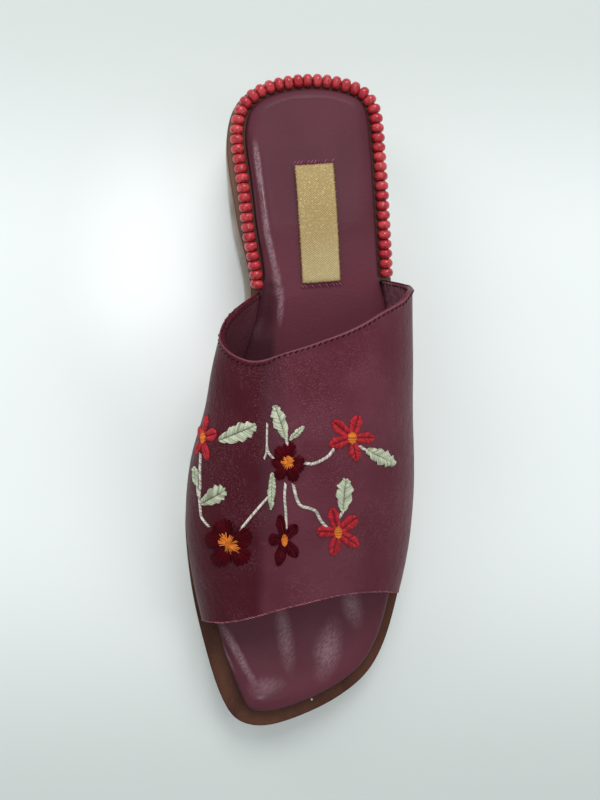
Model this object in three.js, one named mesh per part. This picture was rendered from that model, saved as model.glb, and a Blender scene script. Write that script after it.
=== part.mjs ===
// Open-toe mule sandal, left shoe: a leather vamp and a padded insole on a two-layer sole with a
// low heel, and a string of wooden beads round the heel seat.
// Millimetres. +Z up, toe towards -Y, inner (medial) side towards -X, floor at z = 0.
import * as THREE from "three";

const { acos, cos, hypot, max, PI, sin } = Math;
const { lerp, smoothstep } = THREE.MathUtils;

// Driving dimensions
const soleLength = 256.5;
const toeWidth = 61;
const ballWidth = 92;
const waistWidth = 56;
const heelWidth = 61;
const outsoleThickness = 4;
const midsoleThickness = 7;
const insoleThickness = 7;
const heelHeight = 26;
const toeSpring = 5;
const instepHeight = 77;
const upperWall = 1.9;
const upperBaseInset = 1.6;
const toeRim = 8;
const sideRim = 5.4;
const heelRim = 5.8;
const waistLedge = 2;
const soleEdgeRound = 0.6;
const insoleEdgeRound = 4;
const heelTaper = 4.5;
const beadDiameter = 5.4;
const beadBore = 1.7;
const beadCount = 52;
const beadGap = 0.5;
const threadDiameter = 0.8;
const labelWidth = 14.5;
const labelLength = 44;
const labelThickness = 0.6;
const labelTilt = THREE.MathUtils.degToRad(4.8);
const seamGap = 0.3;

// Heights of the layers over the sole's lowest face
const midsoleBottom = outsoleThickness + seamGap;
const rimHeight = midsoleBottom + midsoleThickness;
const insoleBottom = rimHeight + seamGap;
const insoleTop = insoleBottom + insoleThickness;

// Places along the shoe as shares of its length, from -0.5 at the toe to 0.5 at the heel
const springAlong = -0.3;
const archAlong = -0.094;
const seatAlong = 0.343;
const breastAlong = 0.26;
const taperAlong = { start: 0.3, end: 0.5 };
const ledgeRise = { start: 0, end: 0.13 };
const ledgeFall = { start: 0.24, end: 0.4 };
const ballAlong = -0.15;
const collarAlong = 0.1;

// Sole outline, a row for each station from toe to heel, with shares of the width that it follows
const outlineRows = [
  { along: -0.5, width: toeWidth, medial: 0.25, lateral: -0.25 },
  { along: -0.4951, width: toeWidth, medial: 0.37, lateral: -0.115 },
  { along: -0.4834, width: toeWidth, medial: 0.444, lateral: 0.039 },
  { along: -0.464, width: toeWidth, medial: 0.497, lateral: 0.225 },
  { along: -0.425, width: toeWidth, medial: 0.564, lateral: 0.452 },
  { along: -0.374, width: ballWidth, medial: 0.415, lateral: 0.385 },
  { along: -0.304, width: ballWidth, medial: 0.462, lateral: 0.443 },
  { along: -0.234, width: ballWidth, medial: 0.49, lateral: 0.484 },
  { along: -0.164, width: ballWidth, medial: 0.499, lateral: 0.501 },
  { along: -0.07, width: ballWidth, medial: 0.451, lateral: 0.498 },
  { along: 0.023, width: ballWidth, medial: 0.337, lateral: 0.462 },
  { along: 0.16, width: waistWidth, medial: 0.361, lateral: 0.648 },
  { along: 0.277, width: heelWidth, medial: 0.428, lateral: 0.541 },
  { along: 0.382, width: heelWidth, medial: 0.495, lateral: 0.509 },
  { along: 0.437, width: heelWidth, medial: 0.472, lateral: 0.489 },
  { along: 0.466, width: heelWidth, medial: 0.4, lateral: 0.447 },
  { along: 0.487, width: heelWidth, medial: 0.262, lateral: 0.345 },
  { along: 0.5, width: heelWidth, medial: -0.05, lateral: 0.05 },
];

// Rim left outside the insole, as a factor on the side rim, or on the toe or heel rim at the ends
const rimRows = [
  { along: -0.5, rim: toeRim, medial: 0.8, lateral: 0.8 },
  { along: -0.455, rim: toeRim, medial: 0.95, lateral: 0.7 },
  { along: -0.35, rim: sideRim, medial: 1.25, lateral: 0.78 },
  { along: -0.2, rim: sideRim, medial: 1.05, lateral: 0.88 },
  { along: 0, rim: sideRim, medial: 1, lateral: 1 },
  { along: 0.2, rim: sideRim, medial: 1, lateral: 1 },
  { along: 0.28, rim: sideRim, medial: 1.27, lateral: 1 },
  { along: 0.35, rim: sideRim, medial: 1.42, lateral: 1 },
  { along: 0.42, rim: sideRim, medial: 1.22, lateral: 1.03 },
  { along: 0.5, rim: heelRim, medial: 1, lateral: 1 },
];

// Vamp cross-sections from toe to instep: height and place of the ridge, and how far each side
// swells past an ellipse, as shares of the instep height and of the ball width
const sectionRows = [
  { along: -0.35, ridgeHeight: 0.49, ridgeAcross: -0.07, medialSwell: 0.005, lateralSwell: 0.012 },
  { along: -0.3, ridgeHeight: 0.545, ridgeAcross: -0.062, medialSwell: 0.014, lateralSwell: 0.016 },
  { along: -0.234, ridgeHeight: 0.645, ridgeAcross: -0.043, medialSwell: 0.033, lateralSwell: 0.017 },
  { along: -0.156, ridgeHeight: 0.753, ridgeAcross: -0.016, medialSwell: 0.052, lateralSwell: 0.022 },
  { along: -0.039, ridgeHeight: 0.896, ridgeAcross: 0.011, medialSwell: 0.103, lateralSwell: 0.035 },
  { along: 0.078, ridgeHeight: 1, ridgeAcross: 0.027, medialSwell: 0.175, lateralSwell: 0.08 },
  { along: 0.2, ridgeHeight: 1.08, ridgeAcross: 0.06, medialSwell: 0.175, lateralSwell: 0.108 },
];

// Vamp edges: where the toe opening and the collar lie along the shoe, for each share of the sweep
// over the foot from the medial base to the lateral base
const edgeRows = [
  { sweep: 0, toe: -0.3337, collar: 0.176 },
  { sweep: 0.064, toe: -0.331, collar: 0.152 },
  { sweep: 0.121, toe: -0.329, collar: 0.129 },
  { sweep: 0.193, toe: -0.3275, collar: 0.098 },
  { sweep: 0.241, toe: -0.3265, collar: 0.082 },
  { sweep: 0.284, toe: -0.324, collar: 0.07 },
  { sweep: 0.335, toe: -0.32, collar: 0.063 },
  { sweep: 0.4, toe: -0.3125, collar: 0.075 },
  { sweep: 0.495, toe: -0.298, collar: 0.0905 },
  { sweep: 0.589, toe: -0.283, collar: 0.11 },
  { sweep: 0.667, toe: -0.279, collar: 0.133 },
  { sweep: 0.75, toe: -0.281, collar: 0.153 },
  { sweep: 0.79, toe: -0.283, collar: 0.166 },
  { sweep: 0.85, toe: -0.286, collar: 0.174 },
  { sweep: 1, toe: -0.2943, collar: 0.195 },
];

// The lower layer's tread edge, from the floor up, in shares of the sole's edge round
const treadEdge = [
  { inset: 1.6, height: 0 },
  { inset: 0.3, height: 1.4 },
];

// Insole side, from its foot up: inset as a share of the edge's rounding, height as a share of the
// thickness
const insoleSide = [
  { inset: 0.2, height: 0 },
  { inset: 0, height: 0.3 },
  { inset: 0.06, height: 0.58 },
  { inset: 0.35, height: 0.85 },
  { inset: 1, height: 1 },
];

// Bead profile from bore to bore, as shares of its radius and of its length along the thread
const beadProfile = [
  { radius: 0.42, along: -0.5 },
  { radius: 1, along: -0.18 },
  { radius: 1, along: 0.18 },
  { radius: 0.42, along: 0.5 },
];

const soleStations = 44;
const heelStations = 16;
const labelStations = 8;
const sweepSteps = 38;
const reachSteps = 18;
const beadSides = 8;
const threadSteps = 72;
const threadSides = 6;
const beadPathPoints = 60;
const beadStartAlong = 0.179;
const beadEndAlong = 0.1995;
const labelAlong = 0.274;
const labelAcross = 0.05;
const swellPeak = 1.3;
const roundness = 0.88;
const smallTurn = 0.002;
const smallStep = 0.001;

// Smooth value of one column of a table, by cubic pieces through its rows
function tableValue(rows, key, name, at) {
  const last = rows.length - 1;
  let i = 0;
  while (i < last - 1 && at > rows[i + 1][key]) {
    i += 1;
  }
  const slopeAt = (k) => {
    const before = rows[max(k - 1, 0)];
    const after = rows[k < last ? k + 1 : last];
    return (after[name] - before[name]) / (after[key] - before[key]);
  };
  const span = rows[i + 1][key] - rows[i][key];
  const t = (at - rows[i][key]) / span;
  const rise = t * t * (3 - 2 * t);
  return (
    lerp(rows[i][name], rows[i + 1][name], rise) +
    span * t * (1 - t) * ((1 - t) * slopeAt(i) - t * slopeAt(i + 1))
  );
}

// A lap of the outline runs from turn 0 at the toe up the medial side to 1 at the heel, and back
// down the lateral side to 2
const turnOf = (along) => acos(-2 * along) / PI;
const alongOf = (turn) => -0.5 * cos(PI * turn);
const isMedial = (turn) => turn <= 1;

function closedLap(rows, valueOf) {
  const up = rows.map((row) => ({
    turn: turnOf(row.along),
    value: valueOf(row, "medial"),
  }));
  const down = rows
    .slice(1, -1)
    .reverse()
    .map((row) => ({
      turn: 2 - turnOf(row.along),
      value: valueOf(row, "lateral"),
    }));
  const lap = [...up, ...down];
  const moved = (knot, turns) => ({
    turn: knot.turn + turns,
    value: knot.value,
  });
  return [
    ...lap.slice(-2).map((knot) => moved(knot, -2)),
    ...lap,
    ...lap.slice(0, 3).map((knot) => moved(knot, 2)),
  ];
}

const outlineLap = closedLap(outlineRows, (row, side) =>
  side === "medial" ? -row.medial * row.width : row.lateral * row.width,
);
const rimLap = closedLap(rimRows, (row, side) => row[side] * row.rim);
const rimWidth = (turn) => tableValue(rimLap, "turn", "value", turn);

function outlinePoint(turn) {
  const across = tableValue(outlineLap, "turn", "value", turn);
  return new THREE.Vector2(across, soleLength * alongOf(turn));
}

function edgePoint(turn, inset) {
  const ahead = outlinePoint(turn + smallTurn);
  const behind = outlinePoint(turn - smallTurn);
  const way = ahead.sub(behind).normalize();
  return outlinePoint(turn).add(
    new THREE.Vector2(way.y, -way.x).multiplyScalar(inset),
  );
}

// Height of the sole's lowest face over the floor
function soleRise(y) {
  const along = y / soleLength;
  const spring = max(0, (springAlong - along) / (0.5 + springAlong));
  return (
    toeSpring * spring * spring +
    heelHeight * smoothstep(along, archAlong, seatAlong)
  );
}

// A level of a solid: matching points up the medial and the lateral side, between two stations
function level(stations, firstTurn, insetAt, heightAt) {
  const sides = { medial: [], lateral: [] };
  for (let i = 0; i <= stations; i += 1) {
    const turn = lerp(firstTurn, 1, i / stations);
    for (const [side, place] of [
      ["medial", turn],
      ["lateral", 2 - turn],
    ]) {
      const tip = turn === 0 || turn === 1;
      const spot = tip ? turn : place;
      const { x, y } = edgePoint(spot, insetAt(spot));
      sides[side].push(new THREE.Vector3(x, y, heightAt(y)));
    }
  }
  return sides;
}

function soleLevel(inset, height) {
  const insetAt = typeof inset === "function" ? inset : () => inset;
  return level(soleStations, 0, insetAt, (y) => soleRise(y) + height);
}

function geometryOf(triangles) {
  const whole = triangles.filter(
    ([a, b, c]) => !a.equals(b) && !b.equals(c) && !c.equals(a),
  );
  const geometry = new THREE.BufferGeometry().setFromPoints(whole.flat());
  geometry.computeVertexNormals();
  return geometry;
}

function quad(triangles, a, b, c, d) {
  triangles.push([a, b, c], [a, c, d]);
}

// Closed solid through levels from the lowest to the highest, capped across from side to side
function ladderSolid(levels) {
  const triangles = [];
  const bottom = levels[0];
  const top = levels[levels.length - 1];
  const end = bottom.medial.length - 1;
  for (let i = 0; i < end; i += 1) {
    const j = i + 1;
    quad(triangles, top.medial[i], top.lateral[i], top.lateral[j], top.medial[j]);
    quad(triangles, bottom.medial[j], bottom.lateral[j], bottom.lateral[i], bottom.medial[i]);
  }
  for (let k = 0; k < levels.length - 1; k += 1) {
    const low = levels[k];
    const high = levels[k + 1];
    for (let i = 0; i < end; i += 1) {
      const j = i + 1;
      quad(triangles, low.medial[j], low.medial[i], high.medial[i], high.medial[j]);
      quad(triangles, low.lateral[i], low.lateral[j], high.lateral[j], high.lateral[i]);
    }
    quad(triangles, low.medial[0], low.lateral[0], high.lateral[0], high.medial[0]);
    quad(triangles, low.lateral[end], low.medial[end], high.medial[end], high.lateral[end]);
  }
  return geometryOf(triangles);
}

// Closed sheet between an outer and an inner grid of points
function sheetSolid(outer, inner) {
  const triangles = [];
  const lastRow = outer.length - 1;
  const lastColumn = outer[0].length - 1;
  for (let r = 0; r < lastRow; r += 1) {
    for (let c = 0; c < lastColumn; c += 1) {
      quad(triangles, outer[r][c], outer[r][c + 1], outer[r + 1][c + 1], outer[r + 1][c]);
      quad(triangles, inner[r + 1][c], inner[r + 1][c + 1], inner[r][c + 1], inner[r][c]);
    }
    quad(triangles, inner[r][0], outer[r][0], outer[r + 1][0], inner[r + 1][0]);
    quad(
      triangles,
      outer[r][lastColumn],
      inner[r][lastColumn],
      inner[r + 1][lastColumn],
      outer[r + 1][lastColumn],
    );
  }
  for (let c = 0; c < lastColumn; c += 1) {
    quad(triangles, inner[0][c], inner[0][c + 1], outer[0][c + 1], outer[0][c]);
    quad(
      triangles,
      outer[lastRow][c],
      outer[lastRow][c + 1],
      inner[lastRow][c + 1],
      inner[lastRow][c],
    );
  }
  return geometryOf(triangles);
}

// The lower layer stands proud of the rim at the waist, most on the medial side
function outsoleGeometry() {
  const lateralShare = 0.3;
  const ledge = (turn) => {
    const along = alongOf(turn);
    const rise = smoothstep(along, ledgeRise.start, ledgeRise.end);
    const fall = 1 - smoothstep(along, ledgeFall.start, ledgeFall.end);
    return waistLedge * rise * fall * (isMedial(turn) ? 1 : lateralShare);
  };
  const inside = (inset) => (turn) => inset - ledge(turn);
  return ladderSolid([
    ...treadEdge.map(({ inset, height }) =>
      soleLevel(inside(soleEdgeRound * inset), soleEdgeRound * height),
    ),
    soleLevel(inside(0), outsoleThickness - soleEdgeRound),
    soleLevel(inside(soleEdgeRound), outsoleThickness),
  ]);
}

function midsoleGeometry() {
  return ladderSolid([
    soleLevel(soleEdgeRound, midsoleBottom),
    soleLevel(0, midsoleBottom + soleEdgeRound),
    soleLevel(0, rimHeight - soleEdgeRound),
    soleLevel(soleEdgeRound, rimHeight),
  ]);
}

function insoleGeometry() {
  return ladderSolid(
    insoleSide.map(({ inset, height }) =>
      soleLevel(
        (turn) => rimWidth(turn) + inset * insoleEdgeRound,
        insoleBottom + height * insoleThickness,
      ),
    ),
  );
}

// The heel is flush with the sole at its breast and tapers inwards towards its back
function heelGeometry() {
  const breastTurn = turnOf(breastAlong);
  const middle = { share: 0.5, inset: 0.5 };
  const heelLevel = (share, extra, lift) =>
    level(
      heelStations,
      breastTurn,
      (turn) => {
        const taper = heelTaper * smoothstep(alongOf(turn), taperAlong.start, taperAlong.end);
        return extra + taper * (1 - share);
      },
      (y) => lift + share * (soleRise(y) - seamGap - lift),
    );
  return ladderSolid([
    heelLevel(0, soleEdgeRound, 0),
    heelLevel(0, 0, soleEdgeRound),
    heelLevel(middle.share, middle.inset, soleEdgeRound),
    heelLevel(1, 0, 0),
  ]);
}

// Inset of the vamp's base: near the edge at the ball, and against the insole at the collar
function vampInset(turn) {
  const tucked = rimWidth(turn) - seamGap - upperWall;
  const share = smoothstep(alongOf(turn), ballAlong, collarAlong);
  return lerp(upperBaseInset, tucked, share);
}

function vampBase(turn) {
  const ahead = outlinePoint(turn + smallTurn);
  const behind = outlinePoint(turn - smallTurn);
  const way = ahead.sub(behind);
  const stretch = hypot(1, way.x / way.y);
  const inwards = isMedial(turn) ? 1 : -1;
  return outlinePoint(turn).x + inwards * vampInset(turn) * stretch;
}

// A point of the vamp's outside: sweep runs over the foot, reach from the toe edge to the collar
function vampPoint(sweep, reach) {
  const section = (name, along) =>
    tableValue(sectionRows, "along", name, along);
  const edge = (name) => tableValue(edgeRows, "sweep", name, sweep);
  const along = lerp(edge("toe"), edge("collar"), reach);
  const medial = sweep < 0.5;
  const turn = medial ? turnOf(along) : 2 - turnOf(along);
  const angle = PI * (medial ? sweep : 1 - sweep);
  const y = along * soleLength;
  const seat = soleRise(y) + rimHeight + seamGap;
  const ridgeX = ballWidth * section("ridgeAcross", along);
  const ridgeZ = instepHeight * section("ridgeHeight", along);
  const swell =
    ballWidth * section(medial ? "medialSwell" : "lateralSwell", along);
  const out = swellPeak * swell * sin(2 * angle) * cos(angle);
  const outwards = max(cos(angle), 0) ** roundness;
  const upwards = max(sin(angle), 0) ** roundness;
  return new THREE.Vector3(
    lerp(ridgeX, vampBase(turn), outwards) + (medial ? -out : out),
    y,
    lerp(seat, ridgeZ, upwards),
  );
}

function vampNormal(sweep, reach) {
  const across = vampPoint(sweep + smallStep, reach).sub(
    vampPoint(sweep - smallStep, reach),
  );
  const forward = vampPoint(sweep, reach + smallStep).sub(
    vampPoint(sweep, reach - smallStep),
  );
  return across.cross(forward).normalize();
}

function upperGeometry() {
  const outer = [];
  const inner = [];
  for (let r = 0; r <= reachSteps; r += 1) {
    outer.push([]);
    inner.push([]);
    for (let c = 0; c <= sweepSteps; c += 1) {
      const reach = r / reachSteps;
      const sweep = c / sweepSteps;
      const onBase = c === 0 || c === sweepSteps;
      const inside = lerp(smallStep, 1 - smallStep, sweep);
      const normal = vampNormal(inside, reach);
      if (onBase) normal.set(c === 0 ? -1 : 1, 0, 0);
      const point = vampPoint(sweep, reach);
      outer[r].push(point);
      inner[r].push(point.clone().addScaledVector(normal, -upperWall));
    }
  }
  return sheetSolid(outer, inner);
}

// A flat tab that follows the insole under it, a little turned in plan
function labelGeometry() {
  const middle = new THREE.Vector2(
    labelAcross * ballWidth,
    labelAlong * soleLength,
  );
  const side = (across, height) =>
    Array.from({ length: labelStations + 1 }, (_, i) => {
      const spot = new THREE.Vector2(
        across * labelWidth,
        (i / labelStations - 0.5) * labelLength,
      ).rotateAround(new THREE.Vector2(), labelTilt);
      const { x, y } = spot.add(middle);
      return new THREE.Vector3(x, y, soleRise(y) + height);
    });
  const labelLevel = (height) => ({
    medial: side(-0.5, height),
    lateral: side(0.5, height),
  });
  const low = insoleTop + seamGap;
  return ladderSolid([labelLevel(low), labelLevel(low + labelThickness)]);
}

// Line of the bead centres, on the rim against the insole, from the vamp round the heel
function beadPath() {
  const radius = beadDiameter / 2;
  const first = turnOf(beadStartAlong);
  const last = 2 - turnOf(beadEndAlong);
  const points = Array.from({ length: beadPathPoints }, (_, i) => {
    const turn = lerp(first, last, i / (beadPathPoints - 1));
    const { x, y } = edgePoint(turn, rimWidth(turn) - seamGap - radius);
    return new THREE.Vector3(x, y, soleRise(y) + insoleBottom + radius);
  });
  return new THREE.CatmullRomCurve3(points);
}

function beadGeometry(length) {
  const bore = beadBore / 2;
  const outside = beadProfile.map(
    ({ radius, along }) =>
      new THREE.Vector2((radius * beadDiameter) / 2, along * length),
  );
  const start = new THREE.Vector2(bore, -length / 2);
  const finish = new THREE.Vector2(bore, length / 2);
  return new THREE.LatheGeometry([start, ...outside, finish, start], beadSides);
}

function threadGeometry(path) {
  const round = new THREE.Shape().absarc(0, 0, threadDiameter / 2, 0, 2 * PI);
  const section = new THREE.Shape(round.getSpacedPoints(threadSides));
  return new THREE.ExtrudeGeometry(section, {
    steps: threadSteps,
    extrudePath: path,
    bevelEnabled: false,
  });
}

function finish(color, roughness) {
  return new THREE.MeshStandardMaterial({ color, roughness, metalness: 0 });
}

const leather = finish(0x5f3741, 0.45);
const soleUnit = finish(0x6b4a38, 0.6);
const heelUnit = finish(0x7a6a5c, 0.6);
const weave = finish(0xb99a55, 0.8);
const beadWood = finish(0xb93846, 0.3);
const cotton = finish(0x6b1f26, 0.9);

const pieces = new THREE.Group();

function piece(name, geometry, material) {
  const mesh = new THREE.Mesh(geometry, material);
  mesh.name = name;
  pieces.add(mesh);
  return mesh;
}

piece("outsole", outsoleGeometry(), soleUnit);
piece("midsole", midsoleGeometry(), soleUnit);
piece("heel", heelGeometry(), heelUnit);
piece("insole", insoleGeometry(), leather);
piece("upper", upperGeometry(), leather);
piece("label", labelGeometry(), weave);

const string = beadPath();
piece("bead_thread", threadGeometry(string), cotton);

const pitch = string.getLength() / beadCount;
const bead = beadGeometry(pitch - beadGap);
for (let i = 0; i < beadCount; i += 1) {
  const place = (i + 0.5) / beadCount;
  const name = `bead_${String(i + 1).padStart(2, "0")}`;
  const mesh = piece(name, bead, beadWood);
  mesh.position.copy(string.getPointAt(place));
  mesh.quaternion.setFromUnitVectors(
    new THREE.Vector3(0, 1, 0),
    string.getTangentAt(place),
  );
}

// The origin is under the middle of the shoe, on the floor
const reachBox = new THREE.Box3().setFromObject(pieces);
const middle = reachBox.getCenter(new THREE.Vector3());
pieces.position.set(-middle.x, -middle.y, 0);

const sandal = new THREE.Group();
sandal.add(pieces);

export default sandal;
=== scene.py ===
"""Open-toe mule sandal, left shoe: its finished surfaces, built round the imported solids.

Metres. +Z up, toe towards -Y, inner (medial) side towards -X, floor at z = 0.
"""

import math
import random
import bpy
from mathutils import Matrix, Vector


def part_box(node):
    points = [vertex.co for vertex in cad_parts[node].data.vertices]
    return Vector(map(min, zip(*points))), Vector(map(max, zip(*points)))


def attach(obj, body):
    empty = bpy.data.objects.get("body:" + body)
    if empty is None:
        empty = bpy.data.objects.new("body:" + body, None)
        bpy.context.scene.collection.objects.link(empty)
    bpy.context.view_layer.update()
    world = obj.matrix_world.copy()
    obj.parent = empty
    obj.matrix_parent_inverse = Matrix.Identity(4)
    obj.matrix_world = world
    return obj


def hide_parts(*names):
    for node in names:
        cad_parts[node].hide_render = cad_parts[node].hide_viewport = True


bl_info = {
    "name": "Open-toe mule sandal",
    "version": (1, 0, 0),
    "blender": (4, 5, 0),
    "location": "3D View > Sidebar > Sandal",
    "description": "Leather, embroidery, beads, label and sole of an open-toe mule sandal",
    "category": "Object",
}

from contextlib import contextmanager

import bmesh
import bpy
import numpy as np
from bpy.props import FloatProperty, FloatVectorProperty, IntProperty, PointerProperty
from mathutils import Matrix, Vector
from mathutils.bvhtree import BVHTree
from mathutils.kdtree import KDTree

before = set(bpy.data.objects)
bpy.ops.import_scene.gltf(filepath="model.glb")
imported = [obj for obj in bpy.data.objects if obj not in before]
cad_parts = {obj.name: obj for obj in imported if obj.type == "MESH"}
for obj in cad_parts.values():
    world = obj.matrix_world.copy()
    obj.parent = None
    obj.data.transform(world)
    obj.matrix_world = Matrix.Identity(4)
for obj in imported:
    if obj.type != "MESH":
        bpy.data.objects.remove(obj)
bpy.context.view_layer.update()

MM = 0.001

# The photograph is 600 by 800 pixels, taken straight down from over the inner side of the shoe
PHOTO_CENTRE = (300, 400)
PHOTO_FOCAL = 1205
PHOTO_LONG_SIDE = 800
SENSOR = 36
EYE = Vector((-45.73, 0, 500)) * MM
CAMERA_AIM = Vector((1.6, 3, 0)) * MM


def seen_ray(px, py):
    """Direction from the eye through a pixel of the photograph."""
    across = px - PHOTO_CENTRE[0]
    up = PHOTO_CENTRE[1] - py
    return Vector((across, up, -PHOTO_FOCAL)).normalized()


def tone(red, green, blue):
    """Linear colour of a screen colour whose parts run from 0 to 255."""

    def linear(part):
        share = part / 255
        return share / 12.92 if share <= 0.04045 else ((share + 0.055) / 1.055) ** 2.4

    return (linear(red), linear(green), linear(blue), 1.0)


def colour_property(name, description, *parts):
    """A colour of a finish, from its screen colour."""
    return FloatVectorProperty(
        name=name,
        description=description,
        subtype="COLOR",
        size=4,
        min=0,
        max=1,
        default=tone(*parts),
    )


def length_property(name, description, millimetres):
    """A length in metres, from its default in millimetres."""
    return FloatProperty(
        name=name,
        description=description,
        unit="LENGTH",
        min=0,
        precision=5,
        default=millimetres * MM,
    )


class SandalColours(bpy.types.PropertyGroup):
    """Colours of the sandal's finishes."""

    leather: colour_property("Leather", "Burgundy of the vamp", 100, 49, 61)
    leather_shade: colour_property("Leather shade", "Deeper burgundy in the hide", 87, 34, 46)
    # Painted shade: the vamp's inner side, darker and redder
    inner_side_shade: colour_property("Inner side", "Painted shade on the inner side of the vamp", 70, 17, 29)
    lining: colour_property("Lining", "Inside of the vamp", 106, 60, 70)
    footbed: colour_property("Footbed", "Burgundy of the insole", 90, 42, 53)
    # Paler rubbed leather, and painted sheen on the footbed's glossy patches
    footbed_wear_and_sheen: colour_property("Footbed wear and sheen", "Rubbed insole leather and painted sheen", 158, 122, 131)
    rim: colour_property("Rim", "Brown of the rim round the insole", 82, 50, 37)
    rim_dark: colour_property("Dark rim", "Darker grain of the rim", 62, 34, 26)
    lower: colour_property("Lower layer", "Taupe of the lower sole layer", 180, 169, 158)
    tread: colour_property("Heel block", "Taupe grey of the heel block", 182, 173, 164)
    bead: colour_property("Beads", "Cherry red lacquer", 170, 34, 48)
    bead_warm: colour_property("Warm beads", "Coral side of the lacquer", 190, 60, 64)
    label: colour_property("Label", "Gold weave of the tab", 178, 153, 100)
    label_shade: colour_property("Label shade", "Darker yarn of the tab", 150, 122, 74)
    sage: colour_property("Sage thread", "Leaves", 196, 202, 174)
    stem: colour_property("Stem thread", "Stems", 222, 214, 202)
    red: colour_property("Red thread", "Red flowers", 188, 32, 46)
    maroon: colour_property("Maroon thread", "Dark flowers", 76, 2, 15)
    orange: colour_property("Orange thread", "Flower hearts", 234, 128, 38)
    seam: colour_property("Seam thread", "Collar stitches and bead string", 46, 12, 22)
    whip: colour_property("Toe edge thread", "Binding of the toe edge", 150, 86, 98)
    tab_thread: colour_property("Tab thread", "Stitches that hold the tab", 134, 66, 92)
    floor: colour_property("Floor", "Pale floor", 230, 234, 232)
    # Painted shade of the floor past the toe and the heel
    floor_painted_shade: colour_property("Near floor", "Floor past the toe", 198, 203, 200)


class SandalSizes(bpy.types.PropertyGroup):
    """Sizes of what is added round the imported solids."""

    stitch_pitch: length_property("Stitch pitch", "Stitch and gap along the collar", 2.2)
    stitch_gap: length_property("Stitch gap", "Gap between two stitches", 1.05)
    stitch_inset: length_property("Stitch inset", "Seam's distance from the collar edge", 1.5)
    whip_pitch: length_property("Toe stitch pitch", "Stitches along the toe edge", 1.25)
    seam_thread: length_property("Seam thread", "Diameter of the seam thread", 0.48)
    satin_thread: length_property("Satin thread", "Diameter of the embroidery thread", 0.42)
    satin_pitch: length_property("Satin pitch", "Distance between satin stitches", 0.38)
    satin_height: length_property("Satin height", "How far satin stitches stand up", 0.5)
    hem_width: length_property("Hem width", "Width of the turned collar edge", 2.6)
    hem_lift: length_property("Hem lift", "How far the turned edge stands up", 0.3)
    bead_gap: length_property("Bead gap", "Gap between two beads", 0.12)
    insole_fill: length_property("Insole fill", "How far padding may swell to the vamp", 3.5)
    bead_sides: IntProperty(name="Bead sides", description="Sides of a bead", min=8, default=20)


def sizes():
    return bpy.context.scene.sandal_sizes


def colour(name):
    return tuple(getattr(bpy.context.scene.sandal_colours, name))


# Shader maths


class Sock:
    """A shader socket whose arithmetic adds Math nodes."""

    def __init__(self, finish, socket):
        self.finish = finish
        self.socket = socket

    def __add__(self, other):
        return self.finish.maths("ADD", self, other)

    def __sub__(self, other):
        return self.finish.maths("SUBTRACT", self, other)

    def __rsub__(self, other):
        return self.finish.maths("SUBTRACT", other, self)

    def __mul__(self, other):
        return self.finish.maths("MULTIPLY", self, other)

    __radd__ = __add__
    __rmul__ = __mul__


class Finish:
    """A material whose nodes are added one by one."""

    def __init__(self, name, **uniform):
        self.material = bpy.data.materials.new(name)
        self.material.use_nodes = True
        self.tree = self.material.node_tree
        self.surface = self.tree.nodes["Principled BSDF"]
        self.body = None
        for label, value in uniform.items():
            self.surface.inputs[label.replace("_", " ")].default_value = value

    def feed(self, socket, value):
        if isinstance(value, Sock):
            self.tree.links.new(value.socket, socket)
        else:
            socket.default_value = value

    def node(self, kind, settings=None, sockets=None, output=0):
        made = self.tree.nodes.new("ShaderNode" + kind)
        for label, value in (settings or {}).items():
            setattr(made, label, value)
        for label, value in (sockets or {}).items():
            self.feed(made.inputs[label], value)
        return Sock(self, made.outputs[output])

    def maths(self, operation, *values):
        return self.node("Math", {"operation": operation}, dict(enumerate(values)))

    def place(self):
        return self.node("TexCoord", output="Object")

    def axis(self, index, where=None):
        """One of the object coordinates, or of the given ones."""
        return self.node("SeparateXYZ", None, {0: where or self.place()}, output=index)

    def moved(self, centre, turn=0.0, scale=(1, 1, 1)):
        """Object coordinates from a centre, in shares of a scale, turned about Z."""
        return self.node(
            "Mapping",
            {"vector_type": "TEXTURE"},
            {"Vector": self.place(), "Location": centre, "Rotation": (0, 0, turn), "Scale": scale},
        )

    def noise(self, scale, detail, where=None):
        sockets = {"Vector": where or self.place(), "Scale": scale, "Detail": detail}
        return self.node("TexNoise", None, sockets)

    def cells(self, scale):
        sockets = {"Vector": self.place(), "Scale": scale, "Smoothness": 0.6}
        return self.node("TexVoronoi", {"feature": "SMOOTH_F1"}, sockets)

    def attribute(self, name):
        return self.node("Attribute", {"attribute_name": name}, output="Fac")

    def ease(self, value, low, high):
        """Smooth 0 to 1 as value runs from low to high."""
        sockets = {"Value": value, "From Min": low, "From Max": high}
        return self.node("MapRange", {"interpolation_type": "SMOOTHSTEP"}, sockets)

    def blend(self, share, first, second):
        sockets = {0: share, 6: first, 7: second}
        return self.node("Mix", {"data_type": "RGBA"}, sockets, output=2)

    def spot(self, centre, radii, turn=0.0, ragged=0.35, grain=420):
        """A soft-edged patch, 1 in its middle and 0 outside, with a ragged rim."""
        shares = self.moved((*centre, 0), turn, (*radii, 1))
        reach = self.node("VectorMath", {"operation": "LENGTH"}, {0: shares}, output="Value")
        rough = (self.noise(grain, 4) - 0.5) * ragged * 2
        return 1 - self.ease(reach + rough, 0.1, 1.0)

    def ground(self, value):
        """Sets the colour that others are laid over."""
        self.body = value
        self.feed(self.surface.inputs["Base Color"], value)

    def lay(self, share, value):
        """Lays a colour over those before it, by its share."""
        self.ground(self.blend(share, self.body, value))

    def rough(self, value):
        self.feed(self.surface.inputs["Roughness"], value)

    def coat(self, value):
        self.feed(self.surface.inputs["Coat Weight"], value)

    def bump(self, height, distance, strength):
        sockets = {"Height": height, "Distance": distance, "Strength": strength}
        self.feed(self.surface.inputs["Normal"], self.node("Bump", None, sockets))


def shaded(base, share, lift=0.0):
    """A colour made lighter or darker by a share."""
    return tuple(min(1.0, part * share + lift) for part in base[:3]) + (1.0,)


# Modelling helpers


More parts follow.
